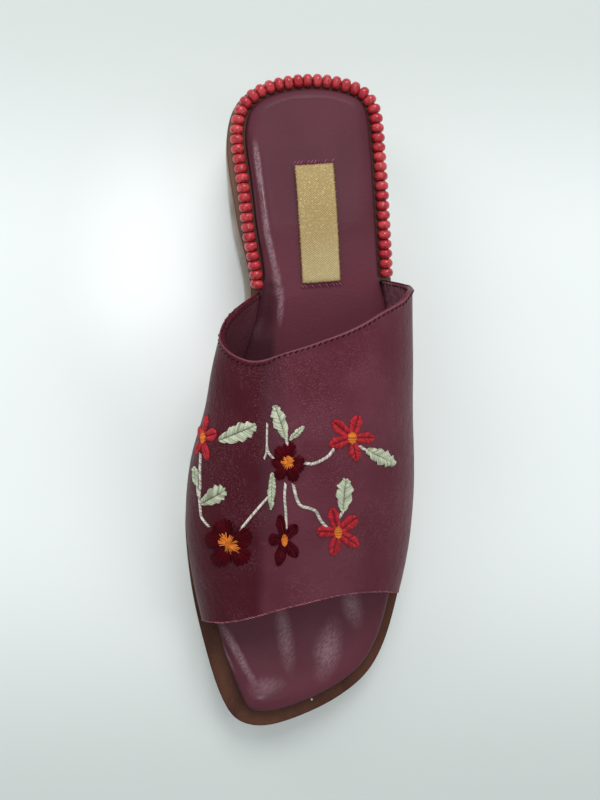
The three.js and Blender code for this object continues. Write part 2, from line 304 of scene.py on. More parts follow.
def deselect_all():
    if bpy.context.object and bpy.context.object.mode != "OBJECT":
        bpy.ops.object.mode_set(mode="OBJECT")
    bpy.ops.object.select_all(action="DESELECT")


def hold(piece):
    """Makes one piece the only selected and active one."""
    deselect_all()
    piece.select_set(True)
    bpy.context.view_layer.objects.active = piece


@contextmanager
def editing(piece, action, mode=None):
    """Edit mode on one piece, with all or nothing of it selected at the start."""
    hold(piece)
    bpy.ops.object.mode_set(mode="EDIT")
    if mode:
        bpy.ops.mesh.select_mode(type=mode)
    bpy.ops.mesh.select_all(action=action)
    yield
    bpy.ops.object.mode_set(mode="OBJECT")


def select_parts(piece, kind, test):
    """Selects the faces or edges that pass a test, in edit mode."""
    shape = bmesh.from_edit_mesh(piece.data)
    for part in getattr(shape, kind):
        part.select_set(test(part))
    bmesh.update_edit_mesh(piece.data)


def finish_piece(piece, finish, nodes, angle):
    """Gives a piece its material, its smooth shading, and the body that carries it."""
    piece.data.materials.clear()
    piece.data.materials.append(finish.material)
    hold(piece)
    bpy.ops.object.shade_smooth_by_angle(angle=math.radians(angle))
    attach(piece, "root")
    if nodes:
        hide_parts(*nodes)


def cad_copy(node, name):
    """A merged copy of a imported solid, with its triangles joined into quads."""
    piece = bpy.data.objects.new(name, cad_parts[node].data.copy())
    bpy.context.collection.objects.link(piece)
    limit = math.radians(65)
    with editing(piece, "SELECT"):
        bpy.ops.mesh.remove_doubles(threshold=0.01 * MM)
        bpy.ops.mesh.tris_convert_to_quads(face_threshold=limit, shape_threshold=limit)
    return piece


def crease_sharp_edges(piece, sharpness, crease):
    """Holds a piece's sharp edges through a subdivision."""
    with editing(piece, "DESELECT", "EDGE"):
        bpy.ops.mesh.edges_select_sharp(sharpness=math.radians(sharpness))
        bpy.ops.transform.edge_crease(value=crease)


def subdivide(piece, levels):
    hold(piece)
    modifier = piece.modifiers.new("Subdivision", "SUBSURF")
    modifier.levels = levels
    modifier.render_levels = levels
    bpy.ops.object.modifier_apply(modifier=modifier.name)


def cut_cross_edges(piece, shortest, cuts):
    """Splits the long edges that run across a piece's top and bottom."""

    def crosses(edge):
        span = edge.verts[1].co - edge.verts[0].co
        return abs(span.x) > 8 * abs(span.y) and abs(span.x) > shortest

    with editing(piece, "DESELECT", "EDGE"):
        select_parts(piece, "edges", crosses)
        bpy.ops.mesh.subdivide(number_cuts=cuts)


def read_vectors(source, field):
    flat = np.empty(len(source) * 3, np.float32)
    source.foreach_get(field, flat)
    return flat.reshape(-1, 3).astype(float)


def points_of(piece):
    return read_vectors(piece.data.vertices, "co")


def normals_of(piece):
    return read_vectors(piece.data.vertex_normals, "vector")


def set_points(piece, points):
    piece.data.vertices.foreach_set("co", points.astype(np.float32).ravel())
    piece.data.update()


def spot_tree(spots):
    """A search tree of spots by their number."""
    tree = KDTree(len(spots))
    for i, spot in enumerate(spots):
        tree.insert(spot, i)
    tree.balance()
    return tree


def even_out(points, chosen, reach):
    """Lays each chosen point on the plane that fits its chosen neighbours within reach."""
    picked = np.nonzero(chosen)[0]
    flat = points[picked] * (1, 1, 0)
    tree = spot_tree(flat)
    heights = points[picked, 2].copy()
    for i, spot in enumerate(flat):
        found = tree.find_range(spot, reach)
        near = np.array([index for _, index, _ in found])
        weights = 1 - np.array([distance for _, _, distance in found]) / reach
        away = flat[near] - spot
        sides = np.stack([np.ones(len(near)), away[:, 0], away[:, 1]], axis=1)
        fit, *_ = np.linalg.lstsq(sides * weights[:, None], heights[near] * weights, rcond=None)
        points[picked[i], 2] = fit[0]


def set_attribute(piece, name, values):
    attribute = piece.data.attributes.new(name, "FLOAT", "POINT")
    attribute.data.foreach_set("value", np.asarray(values, np.float32))


def smooth_share(values, low, high):
    share = np.clip((values - low) / (high - low), 0, 1)
    return share * share * (3 - 2 * share)


def distance_to(points, line):
    """Distance of each point from a line of closely spaced points."""
    tree = spot_tree(line)
    return np.array([tree.find(p)[2] for p in points])


def smooth_line(knots, step):
    """Points a step apart along a smooth line through the knots."""
    line = []
    last = len(knots) - 1
    for i in range(last):
        before = knots[max(i - 1, 0)]
        start, end = knots[i], knots[i + 1]
        after = knots[min(i + 2, last)]
        count = max(2, round((end - start).length / step))
        bend = 2 * before - 5 * start + 4 * end - after
        sway = 3 * start - before - 3 * end + after
        for k in range(count):
            t = k / count
            line.append(0.5 * (2 * start + (end - before) * t + bend * t * t + sway * t * t * t))
    line.append(knots[-1].copy())
    return line


def resample(line, pitch):
    """Points at an even pitch along a line."""
    lengths = [0.0]
    for a, b in zip(line, line[1:]):
        lengths.append(lengths[-1] + (b - a).length)
    count = max(2, round(lengths[-1] / pitch))
    spots = []
    i = 0
    for k in range(count + 1):
        at = lengths[-1] * k / count
        while i < len(line) - 2 and lengths[i + 1] < at:
            i += 1
        share = (at - lengths[i]) / max(lengths[i + 1] - lengths[i], 1e-9)
        spots.append(line[i].lerp(line[i + 1], min(share, 1.0)))
    return spots


def threads(name, runs, diameter, finish, nodes=(), sides=6):
    """Thin threads as one piece; a run is a list of points, each with its share of the girth.

    Each thread gets its own shade, kept in the attribute strand.
    """
    curve = bpy.data.curves.new(name, "CURVE")
    curve.dimensions = "3D"
    curve.bevel_depth = diameter / 2
    curve.bevel_resolution = (sides - 4) // 2
    curve.use_fill_caps = False
    for run in runs:
        spline = curve.splines.new("POLY")
        spline.points.add(len(run) - 1)
        for knot, (point, girth) in zip(spline.points, run):
            knot.co = (*point, 1)
            knot.radius = girth
    piece = bpy.data.objects.new(name, curve)
    bpy.context.collection.objects.link(piece)
    hold(piece)
    bpy.ops.object.convert(target="MESH")
    piece = bpy.context.object
    rng = random.Random(len(runs))
    ring = len(piece.data.vertices) // sum(len(run) for run in runs)
    shades = [[rng.random()] * (ring * len(run)) for run in runs]
    set_attribute(piece, "strand", sum(shades, []))
    with editing(piece, "SELECT"):
        bpy.ops.mesh.fill_holes(sides=0)
        bpy.ops.mesh.normals_make_consistent(inside=False)
    finish_piece(piece, finish, nodes, 80)


# Vamp

# Folds of the vamp, in millimetres: start, end, width and depth; a ridge has a negative depth
VAMP_FOLDS = [
    ((-18.4, 15.5), (-17.4, -48), 2.6, 1.1),
    ((-14.2, 14.5), (-13.2, -42), 2.8, -0.5),
    ((-17.8, 13), (-18.8, 4.5), 0.9, 0.34),
    ((-15.2, 13.6), (-14.4, 5.5), 0.9, 0.32),
    ((-13.4, 13.8), (-12.2, 8), 0.8, 0.28),
    ((-11.4, 14.6), (-9.4, 11), 0.8, 0.24),
    ((18, -20), (38, -44), 5.5, 0.35),
    ((26, -8), (40, -22), 4.5, 0.25),
    ((-34, -14), (-40, -46), 4.5, 0.35),
    ((-30, 14), (-36, -8), 4, 0.3),
    ((-8, -66), (16, -60), 5, 0.25),
]
# The line inside the vamp that its wall faces away from: its x, then y and z at each end, in
# millimetres
VAMP_AXIS_X = 1
VAMP_AXIS_TOE = (-85, 8)
VAMP_AXIS_COLLAR = (50, 25)
WALL_FACING = 0.45
RIM_FACING = 0.3


def fold_depth(points, folds):
    """Depth of a table of folds at each point, in metres."""
    total = np.zeros(len(points))
    flat = points[:, :2] / MM
    for start, end, width, depth in folds:
        span = np.subtract(end, start)
        along = np.clip((flat - start) @ span / (span @ span), 0, 1)
        away = np.linalg.norm(flat - start - along[:, None] * span, axis=1)
        fade = np.sin(np.pi * np.clip(along * 0.86 + 0.07, 0, 1)) ** 0.7
        total += depth * fade * np.exp(-((away / width) ** 2))
    return total * MM


def vamp_outwards(points):
    """Direction away from the foot under the vamp, level across the shoe."""
    (toe_y, toe_z), (collar_y, collar_z) = VAMP_AXIS_TOE, VAMP_AXIS_COLLAR
    share = (points[:, 1] / MM - toe_y) / (collar_y - toe_y)
    height = (toe_z + share * (collar_z - toe_z)) * MM
    across = points[:, 0] - VAMP_AXIS_X * MM
    away = np.stack([across, np.zeros(len(points)), points[:, 2] - height], axis=1)
    return away / np.linalg.norm(away, axis=1)[:, None]


def rim_line(piece, way, outer):
    """Corner line of the vamp's wall at the toe (way -1) or the collar (way 1), as knots."""
    shape = bmesh.new()
    shape.from_mesh(piece.data)
    shape.normal_update()
    corners = {}
    for edge in shape.edges:
        if len(edge.link_faces) != 2:
            continue
        for rim, wall in (edge.link_faces, reversed(list(edge.link_faces))):
            middle = np.array([wall.calc_center_median()])
            outwards = float(vamp_outwards(middle)[0] @ np.array(wall.normal))
            is_wall = outwards > WALL_FACING if outer else outwards < -WALL_FACING
            is_rim = rim.normal.y * way > RIM_FACING
            if is_rim and is_wall and rim.normal.dot(wall.normal) < 0.5:
                for corner in edge.verts:
                    corners[corner.index] = corner.co.copy()
    shape.free()
    knots = list(corners.values())
    low = min(k.z for k in knots) - 4 * MM
    middle = (min(k.x for k in knots) + max(k.x for k in knots)) / 2
    knots.sort(key=lambda k: -math.atan2(k.z - low, k.x - middle))
    return knots


def vamp_finish():
    f = Finish("Burgundy vamp leather", Specular_IOR_Level=0.1, Coat_Roughness=0.16)
    cloud = f.noise(34, 5)
    mottle = f.noise(240, 4)
    side = f.axis(0)
    f.ground(colour("leather_shade"))
    f.lay(f.ease(cloud, 0.35, 0.68), colour("leather"))
    # Painted shade on the inner side of the vamp, darker and redder
    f.lay(1 - f.ease(side, -20 * MM, -14.5 * MM), colour("inner_side_shade"))
    # Painted shade in the long crease down the inner side of the vamp
    crease = f.ease(side, -20 * MM, -18 * MM) * (1 - f.ease(side, -14.5 * MM, -8 * MM))
    crease = crease * f.ease(f.axis(1), -58 * MM, -40 * MM)
    f.lay(crease * 0.5, tone(66, 30, 40))
    f.lay(f.ease(mottle, 0.58, 0.82) * 0.3, tone(118, 66, 77))
    # Painted glints: fine pale flecks in patches, where the grain catches the light
    painted_glint = f.ease(f.noise(2300, 3, f.moved((0, 0, 0), 0.5, (1.8, 1, 1))), 0.5, 0.66)
    f.lay(painted_glint * f.ease(f.noise(48, 3), 0.42, 0.62) * 0.2, tone(158, 106, 116))
    # Pale line along the turned collar edge: painted highlight where the fold catches the light;
    # along the toe it is the paler raw edge
    hem = 1 - f.ease(f.attribute("collar_gap"), 0.1 * MM, 0.5 * MM)
    toe = 1 - f.ease(f.attribute("toe_gap"), 0.1 * MM, 0.75 * MM)
    f.lay(hem * 0.6 + toe * (f.ease(f.noise(700, 3), 0.4, 0.6) * 0.5 + 0.15), tone(142, 84, 94))
    scratch = f.ease(f.noise(420, 5, f.moved((0, 0, 0), -0.5, (3, 1, 1))), 0.42, 0.66)
    corner = f.ease(side, 22 * MM, 32 * MM) * scratch * 0.5
    f.lay(f.attribute("lining"), f.blend(corner, colour("lining"), tone(150, 112, 119)))
    f.rough(0.34 + cloud * 0.1 + f.ease(mottle, 0.45, 0.8) * 0.12)
    crown = f.ease(side, -34 * MM, -12 * MM) * (1 - f.ease(side, 22 * MM, 40 * MM) * 0.85)
    f.coat(crown * 0.08)
    wrinkle = f.noise(330, 5, f.moved((0, 0, 0), 0.35, (1, 2.6, 1)))
    f.bump(f.cells(1150) * 0.55 + f.noise(2900, 3) * 0.45 + wrinkle * 1.5, 0.32 * MM, 0.85)
    return f


def build_vamp():
    """The vamp with its folds and turned collar edge, and the corner lines that seams follow."""
    piece = cad_copy("upper", "vamp_leather")
    rims = {"collar": (1, True), "collar_inside": (1, False), "toe": (-1, True)}
    lines = {name: smooth_line(rim_line(piece, *rim), 0.3 * MM) for name, rim in rims.items()}
    crease_sharp_edges(piece, sharpness=50, crease=0.66)
    subdivide(piece, 3)
    points, normals = points_of(piece), normals_of(piece)
    outwards = vamp_outwards(points)
    facing = np.sum(normals * outwards, axis=1)
    collar_gap = distance_to(points, lines["collar"])
    toe_gap = distance_to(points, lines["toe"])
    size = sizes()
    outside = smooth_share(facing, 0.05, 0.5)
    hem = 1 - smooth_share(collar_gap, size.hem_width * 0.55, size.hem_width)
    seam = np.exp(-(((collar_gap - size.stitch_inset) / (0.7 * MM)) ** 2))
    points += normals * (outside * (hem * size.hem_lift - seam * size.hem_lift * 0.5))[:, None]
    points -= outwards * fold_depth(points, VAMP_FOLDS)[:, None]
    set_points(piece, points)
    set_attribute(piece, "collar_gap", collar_gap)
    set_attribute(piece, "toe_gap", toe_gap)
    set_attribute(piece, "lining", 1 - smooth_share(facing, -0.55, -0.2))
    finish_piece(piece, vamp_finish(), ["upper"], 60)
    return piece, lines


# Room that the padding keeps to the lining, and the height taken where a ray misses the leather
LINING_ROOM = 0.15 * MM
MISS_HEIGHT = 40 * MM


class Leather:
    """A finished surface that stitches are laid on."""

    def __init__(self, piece):
        hold(piece)
        self.tree = BVHTree.FromObject(piece, bpy.context.evaluated_depsgraph_get())

    def face(self, point):
        """The nearest place on the surface, and its normal."""
        spot, normal, _, _ = self.tree.find_nearest(point)
        return spot, normal

    def near(self, point, lift=0.0):
        spot, normal = self.face(point)
        return spot + normal * lift

    def below(self, point, lift=0.0):
        """The place on the surface straight under or over a point."""
        spot, normal, _, _ = self.tree.ray_cast(point + Vector((0, 0, 0.1)), Vector((0, 0, -1)))
        return self.near(point, lift) if spot is None else spot + normal * lift

    def gap(self, point, way, most):
        """How far a point can move a way before it nearly touches the surface."""
        _, _, _, reach = self.tree.ray_cast(point, way, most + LINING_ROOM)
        return most if reach is None else max(reach - LINING_ROOM, 0)

    def seen(self, px, py, lift=0.0):
        """The place on the surface that shows at a pixel of the photograph."""
        way = seen_ray(px, py)
        spot, normal, _, _ = self.tree.ray_cast(EYE, way)
        if spot is None:
            return self.near(EYE + way * (EYE.z - MISS_HEIGHT) / -way.z, lift)
        return spot + normal * lift


# A seam stitch from end to end: share of its length, share of its lift, and girth
SEAM_STITCH = ((0, -0.9, 0.7), (0.1, 0.4, 0.95), (0.5, 1, 1), (0.9, 0.4, 0.95), (1, -0.9, 0.7))
SEAM_LIFT = 0.12 * MM
SEAM_SLANT = 0.5 * MM
SEAM_STEP = 0.8 * MM
WHIP_INSET = 0.75 * MM
WHIP_GIRTHS = (0.7, 1, 0.9, 0.6)


def inset_line(leather, line, inset, towards):
    """A line moved over the surface by inset, away from an edge and towards a point."""
    moved = []
    for i, spot in enumerate(line):
        ahead = line[min(i + 2, len(line) - 1)] - line[max(i - 2, 0)]
        spot, normal = leather.face(spot)
        side = normal.cross(ahead).normalized()
        if side.dot(towards - spot) < 0:
            side = -side
        moved.append(spot + side * inset)
    for _ in range(4):
        middles = [(a + b + c) / 3 for a, b, c in zip(moved, moved[1:], moved[2:])]
        moved = [moved[0], *middles, moved[-1]]
    return [leather.near(spot) for spot in moved]


def seam_stitches(leather, line, pitch, gap):
    """Stitches along a line: each rises out of the surface and goes back into it."""
    runs = []
    reach = 1 - gap / pitch
    spots = resample(line, pitch)
    for start, end in zip(spots, spots[1:]):
        way = end - start
        _, normal = leather.face(start)
        side = normal.cross(way).normalized() * SEAM_SLANT
        run = []
        for share, height, girth in SEAM_STITCH:
            place = start + way * (share * reach) + side * (share - 0.5)
            run.append((leather.near(place, SEAM_LIFT * height), girth))
        runs.append(run)
    return runs


def build_collar_stitches(vamp, lines):
    """Seams round the collar, outside and on the lining."""
    size = sizes()
    leather = Leather(vamp)
    toe = Vector((0, -60, 40)) * MM
    runs = []
    for name in ("collar", "collar_inside"):
        edge = resample(lines[name], SEAM_STEP)
        seam = inset_line(leather, edge, size.stitch_inset, toe)[4:-4]
        runs += seam_stitches(leather, seam, size.stitch_pitch, size.stitch_gap)
    finish = thread_finish("Collar thread", "seam", 0.5, 0.08)
    threads("collar_stitches", runs, size.seam_thread, finish)


def build_toe_stitches(vamp, lines):
    """Small oblique stitches that bind the toe edge of the vamp."""
    size = sizes()
    leather = Leather(vamp)
    edge = resample(lines["toe"], size.whip_pitch)
    inner = inset_line(leather, edge, WHIP_INSET, Vector((0, 0, 40)) * MM)
    runs = []
    for start, corner in zip(inner[3:-5], edge[4:-4]):
        spot, normal = leather.face(corner)
        middle = leather.near(start.lerp(spot, 0.5), 0.2 * MM)
        over = spot + normal * 0.12 * MM
        under = over - Vector((0, -0.2, 0.5)) * MM
        places = (leather.near(start, -0.15 * MM), middle, over, under)
        runs.append(list(zip(places, WHIP_GIRTHS)))
    finish = thread_finish("Toe edge thread", "whip", 0.5)
    threads("toe_stitches", runs, size.seam_thread * 0.9, finish)


# Embroidery

# Flowers, in pixels of the photograph. A petal has its angle from the picture's right in degrees,
# its length from the flower's middle and its width
STARS = [
    {
        "at": (466.6, 430.6),
        "thread": "red",
        "heart": (5.0, 5.8),
        "petals": [
            (140, 25.5, 13), (74, 23, 12.5), (-1, 22.5, 12), (-79, 23, 12.5), (199, 23.5, 12.5),
        ],
    },
    {
        "at": (452.4, 525.4),
        "thread": "red",
        "heart": (4.4, 5.8),
        "petals": [
            (105, 25, 11.5), (37, 24.5, 13), (-35, 24.5, 13.5), (-103, 23.5, 13), (178, 21, 12.5),
        ],
    },
    {
        "at": (398.5, 532.8),
        "thread": "maroon",
        "heart": (3.3, 5.8),
        "petals": [(101, 25, 11), (50, 19, 11), (-54, 21, 12), (256, 26.5, 11.5), (179, 15.5, 13)],
    },
]
# The flower on the inner edge is laid flat on the leather where it turns down
EDGE_STAR = {
    "at": (317.6, 430),
    "thread": "red",
    "heart": (5.2, 6.0),
    "petals": [(0, 23, 12.5), (72, 22, 11), (144, 22, 11), (216, 22, 11), (-80, 24, 10)],
}
BLOOMS = [
    {
        "at": (402.0, 454.8),
        "heart": 5.6,
        "petals": [
            (84, 21.5, 15), (128, 19.5, 14), (178, 17.5, 15), (236, 22, 14), (290, 22.5, 14),
            (346, 18.5, 19),
        ],
    },
    {
        "at": (343.0, 535.6),
        "heart": 7.8,
        "petals": [(112, 26, 24), (24, 25.5, 22), (-48, 28, 23), (-122, 28, 21), (170, 26.5, 20)],
    },
]

# Leaves: base, tip, width left and right of the vein, and how many lobes the edge has
LEAVES = [
    ((333.0, 433.2), (371.5, 417.5), 9.5, 10.5, 4),
    ((400.0, 431.5), (388.5, 396.5), 8.5, 7.0, 3),
    ((403.6, 432.5), (418.8, 418.5), 3.0, 3.4, 2),
    ((480.4, 442.7), (511.5, 458.0), 9.0, 8.5, 4),
    ((457.4, 505.2), (460.4, 470.4), 9.0, 9.5, 3),
    ((386.4, 465.5), (385.0, 504.2), 4.4, 4.2, 1),
    ((315.6, 496.2), (340.6, 482.6), 11.0, 8.0, 4),
    ((310.5, 477.0), (308.6, 458.5), 3.5, 3.5, 1),
]
# Stems: width, and the places that each runs through
STEMS = [
    (2.3, [(418.6, 456.0), (428.2, 456.5), (441.6, 449.8), (448.0, 442.0)]),
    (2.2, [(474.4, 439.0), (478.0, 441.6), (481.5, 443.2)]),
    (1.2, [(381.4, 416.4), (381.1, 428.0), (381.1, 440.0)]),
    (1.5, [(381.1, 440.0), (380.4, 446.0), (378.4, 451.0)]),
    (1.7, [(381.1, 440.0), (383.0, 446.0), (387.4, 450.8)]),
    (1.9, [(382.2, 490.2), (374.0, 498.8), (364.0, 510.5), (353.8, 523.0)]),
    (2.0, [(399.5, 477.0), (398.6, 490.0), (399.8, 505.0), (400.3, 521.0)]),
    (2.4, [(407.4, 477.6), (410.6, 491.0), (415.0, 498.7), (424.0, 501.6),
           (430.4, 505.0), (434.8, 513.4), (440.0, 519.6)]),
    (2.2, [(454.0, 510.4), (457.6, 505.0)]),
    (2.2, [(401.5, 437.5), (400.2, 431.0)]),
    (1.6, [(314.9, 446.6), (314.2, 463.0), (314.4, 478.0), (313.6, 489.5),
           (314.6, 500.6), (316.0, 510.0), (322.8, 518.8)]),
    (1.4, [(310.9, 470.0), (312.4, 488.0)]),
]
# Half of the open vein of a petal and of a leaf, in pixels, and rays in a shaggy heart
PETAL_VEIN = 0.35
LEAF_VEIN = 0.2
HEART_RAYS = 46
# Height of the embroidery over the floor, where its stitches are spaced
EMBROIDERY_HEIGHT = 55 * MM
# A satin stitch from end to end
STITCH_SHARES = (0, 0.12, 0.5, 0.88, 1)
STITCH_HEIGHTS = (-0.25, 0.55, 1, 0.55, -0.25)
STITCH_GIRTHS = (0.55, 0.95, 1, 0.95, 0.55)


def satin(place, start, end, rise=1.0):
    """One satin stitch between two spots of a patch, arched over the leather."""
    height = sizes().satin_height * rise
    run = []
    for share, lift, girth in zip(STITCH_SHARES, STITCH_HEIGHTS, STITCH_GIRTHS):
        u = start[0] + (end[0] - start[0]) * share
        v = start[1] + (end[1] - start[1]) * share
        run.append((place(u, v, height * lift), girth))
    return run


def seen_patch(leather, at):
    """Places of a motif as offsets in the photograph's pixels, right and up."""
    return lambda u, v, lift: leather.seen(at[0] + u, at[1] - v, lift)


def wrapped_patch(leather, at):
    """The same offsets, laid flat on the leather round a spot that turns away from the eye."""
    spot = leather.seen(*at)
    _, normal = leather.face(spot)
    across = (Vector((1, 0, 0)) - normal * normal.x).normalized()
    up = normal.cross(across)
    pixel = (EYE.z - spot.z) / PHOTO_FOCAL
    return lambda u, v, lift: leather.near(spot + (across * u + up * v) * pixel, lift)


def pixel_pitch():
    """Distance between satin stitches in the photograph's pixels, at the height of the vamp."""
    return sizes().satin_pitch / ((EYE.z - EMBROIDERY_HEIGHT) / PHOTO_FOCAL)


def axes_of(along):
    """A direction in the picture, and the one across it."""
    return along, Vector((-along.y, along.x))


def petal_axes(angle):
    turn = math.radians(angle)
    return axes_of(Vector((math.cos(turn), math.sin(turn))))


def petal_stitches(place, petal, start, pitch, rng):
    """A pointed petal of two satin columns that meet at its vein."""
    angle, length, width = petal
    along, across = petal_axes(angle)
    runs = []
    count = round((length - start) / pitch)
    for side in (1, -1):
        for i in range(count + 1):
            share = i / count
            reach = start + (length - start) * share
            rising = 0.62 + 0.76 * share
            falling = (2 * (1 - share)) ** 0.62
            half = width / 2 * min(rising, falling)
            slant = min(half * 0.55, length - reach)
            edge = half + 0.3 + rng.uniform(-0.25, 0.25)
            inner = along * reach + across * side * PETAL_VEIN
            outer = along * (reach + slant) + across * side * edge
            runs.append(satin(place, inner, outer))
    return runs


def bloom_stitches(place, petals, heart, pitch, rng):
    """Round petals of long satin stitches that run out from the heart."""
    runs = []
    for n, (angle, length, width) in enumerate(petals):
        along, across = petal_axes(angle)
        count = round(width / pitch)
        for i in range(count + 1):
            share = 2 * i / count - 1
            lobe = 1 - 0.1 * (1 - abs(math.cos(2.5 * math.pi * share)))
            reach = length * (0.62 + 0.38 * (1 - share * share) ** 0.55) * lobe
            inner = along * heart * 0.8 + across * share * width * 0.2
            outer = along * reach + across * share * width / 2
            outer += along * rng.uniform(-0.4, 0.4)
            runs.append(satin(place, inner, outer, 1.0 + 0.6 * (n % 2)))
    return runs


def disc_stitches(place, radii, pitch, rng):
    """A round heart of level satin stitches."""
    runs = []
    count = round(2 * radii[1] / pitch)
    for i in range(count + 1):
        v = radii[1] * (2 * i / count - 1) * 0.97
        half = radii[0] * math.sqrt(max(0.05, 1 - (v / radii[1]) ** 2)) + rng.uniform(0, 0.35)
        runs.append(satin(place, (-half, v), (half, v), 1.9))
    return runs


def ray_stitches(place, radius, stretch, rng):
    """A shaggy heart: crossing stitches and short rays past its rim."""
    runs = []
    for i in range(HEART_RAYS):
        turn = math.tau * i / HEART_RAYS + rng.uniform(-0.06, 0.06)
        reach = radius * rng.uniform(0.7, 1.55)
        way = Vector((math.cos(turn), math.sin(turn)))
        start, end = way * radius * rng.uniform(-0.5, 0.1), way * reach
        for spot in (start, end):
            lean = spot.x * 0.55 * stretch
            spot.y -= lean
            spot.x *= 1 + 0.15 * stretch
        runs.append(satin(place, start, end, rng.uniform(1.5, 2.2)))
    return runs


def leaf_stitches(place, base, tip, widths, lobes, pitch, rng):
    """A lobed leaf of two satin columns that slant to its tip and leave its vein open."""
    span = Vector((tip[0] - base[0], base[1] - tip[1]))
    length = span.length
    along, across = axes_of(span / length)
    count = round(length / pitch)
    runs = []
    for side, width in zip((1, -1), widths):
        for i in range(count + 1):
            share = i / count
            lobe = 1 - 0.3 * ((share * lobes + (0.25 if side > 0 else 0.6)) % 1)
            half = width * math.sin(math.pi * (0.06 + 0.9 * share) ** 0.8) ** 0.75 * lobe
            slant = min(half * 0.8, length * (1 - share) + 1.5)
            vein = LEAF_VEIN * math.sin(math.pi * share)
            inner = along * (length * share * 0.93) + across * side * vein
            outer = inner + along * slant + across * side * (half + rng.uniform(-0.4, 0.4))
            runs.append(satin(place, inner, outer))
    return runs


def stem_stitches(place, knots, width, pitch):
    """A narrow column of slanting stitches along a stem."""
    line = [Vector((px, -py)) for px, py in knots]
    if len(line) > 2:
        line = smooth_line(line, pitch)
    spots = resample(line, pitch * 1.25)
    runs = []
    for i, spot in enumerate(spots):
        way = (spots[min(i + 1, len(spots) - 1)] - spots[max(i - 1, 0)]).normalized()
        side = Vector((-way.y, way.x)) * width * 0.62
        lean = way * width * 0.6
        runs.append(satin(place, spot - side - lean, spot + side + lean, 0.85))
    return runs


def thread_finish(name, colour_name, shine=0.38, gloss=0.3):
    f = Finish(name, Specular_IOR_Level=gloss)
    base = colour(colour_name)
    f.ground(shaded(base, 0.5))
    f.lay(f.ease(f.noise(300, 3) * 0.4 + f.attribute("strand") * 0.8, 0.3, 0.8), base)
    f.lay(f.ease(f.noise(2400, 3), 0.55, 0.75) * 0.6, shaded(base, 1.4, 0.012))
    f.rough(shine + f.noise(900, 2) * 0.2)
    f.bump(f.noise(6000, 2), 0.05 * MM, 0.5)
    return f


def build_embroidery(vamp):
    """Stems, leaves and flowers, stitch by stitch, as one piece for each colour of thread."""
    rng = random.Random(7)
    leather = Leather(vamp)
    pitch = pixel_pitch()
    picture = seen_patch(leather, (0, 0))
    runs = {"stem": [], "sage": [], "red": [], "maroon": [], "orange": []}
    for width, knots in STEMS:
        runs["stem"] += stem_stitches(picture, knots, width, pitch)
    for base, tip, *widths, lobes in LEAVES:
        place = seen_patch(leather, base)
        runs["sage"] += leaf_stitches(place, base, tip, widths, lobes, pitch, rng)
    for star in [*STARS, EDGE_STAR]:
        patch = wrapped_patch if star is EDGE_STAR else seen_patch
        place = patch(leather, star["at"])
        start = min(star["heart"]) * 0.7
        for petal in star["petals"]:
            runs[star["thread"]] += petal_stitches(place, petal, start, pitch, rng)
        runs["orange"] += disc_stitches(place, star["heart"], pitch, rng)
    for stretch, bloom in enumerate(BLOOMS):
        place = seen_patch(leather, bloom["at"])
        runs["maroon"] += bloom_stitches(place, bloom["petals"], bloom["heart"], pitch, rng)
        runs["orange"] += ray_stitches(place, bloom["heart"], stretch, rng)
    for name, strands in runs.items():
        gloss = 0.06 if name == "maroon" else 0.3
        finish = thread_finish(f"{name.title()} satin thread", name, gloss=gloss)
        threads(f"embroidery_{name}", strands, sizes().satin_thread, finish)


# Insole

# Dents and ridges of the insole, as in the table of the vamp's folds
FOOTBED_FOLDS = [
    ((-1, 98), (1, 70), 19, 0.9),
    ((2, -36), (4, -60), 24, 0.8),
    ((-13.8, 49.6), (-10.4, 47.6), 1.1, -0.6),
    ((-13.2, 46.4), (-9.8, 44.8), 1.0, 0.5),
    ((-17.2, 71), (-15.4, 50), 1.0, 0.35),
    ((-31.6, -86), (-22.6, -106), 1.0, 0.35),
    ((-30.4, -84), (-20.4, -107), 1.8, -0.45),
    ((-4.6, -88), (-2, -104), 2.6, -0.3),
    ((9, -88), (14, -108), 6, -0.4),
    ((22, -78), (25, -87), 4, -0.35),
]
# The footbed's inner shoulder, in millimetres: past this line the padding falls away to the edge
FOOTBED_SHOULDER = [
    (-21.4, 108), (-19.6, 99), (-17, 80), (-14.9, 66), (-11.7, 54), (-9, 41), (-9.6, 25),
]
SHOULDER_SLOPE = 0.42
SHOULDER_RIDGE = 0.7 * MM
SHOULDER_WIDTH = 1.5 * MM
# Rubbed patches, paler for wear and for painted sheen: middle and half sizes in millimetres, turn
# in degrees, strength
FOOTBED_WEAR_AND_SHEEN = [
    ((-24.6, -99), (1.5, 13), 29, 0.7),
    ((-30.6, -97), (0.7, 8), 27, 0.55),
    ((-6.2, -92), (2.8, 11), 8, 0.46),
    ((11, -97), (4.4, 9.5), -12, 0.55),
    ((21, -80), (3.4, 7), 12, 0.46),
    ((-13.5, -111), (6, 3), 12, 0.36),
    ((-10.4, 47), (1.4, 9), 12, 0.6),
]
WEAR_AND_SHEEN_FADE = 1.6


